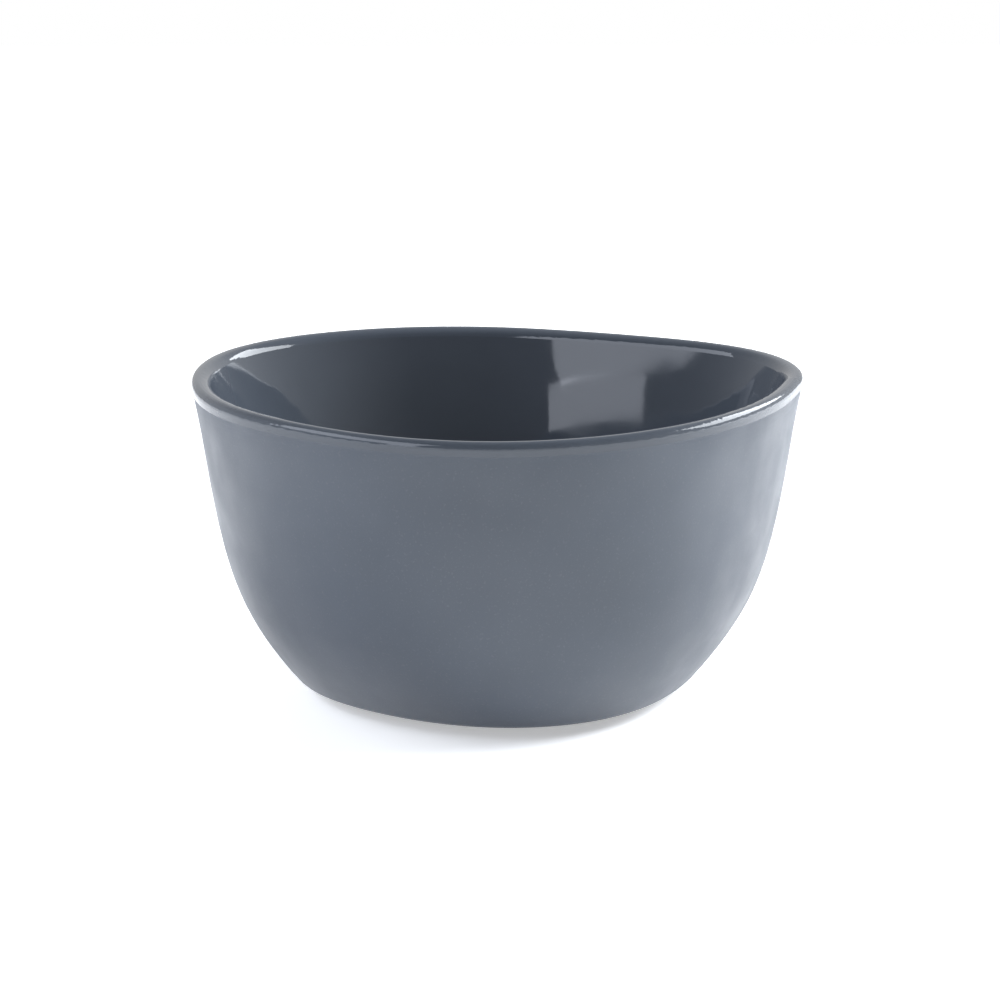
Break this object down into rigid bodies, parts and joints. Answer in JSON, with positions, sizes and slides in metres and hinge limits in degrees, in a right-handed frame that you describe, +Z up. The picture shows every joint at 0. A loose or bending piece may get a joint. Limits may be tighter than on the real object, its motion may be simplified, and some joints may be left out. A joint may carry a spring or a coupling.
{
  "type": "deep serving bowl",
  "caption": "Deep round-cornered bowl of moulded plastic ware, satin outside, with a glossy liner turned over the lip.",
  "frame": {"origin": "on the surface that the bowl stands on, under the middle of the bowl's bounding box", "axes": "+Z up through the mouth, +X to the bowl's right seen from its rounded front, +Y to its flatter back"},
  "size_m": [0.1505, 0.1535, 0.077],
  "materials": {
    "satin_shell": "satin moulded melamine, slate grey",
    "gloss_liner": "polished moulded melamine, slate grey"
  },
  "bodies": {
    "root": {"outer_shell": "satin_shell", "inner_liner": "gloss_liner"}
  },
  "joints": []
}
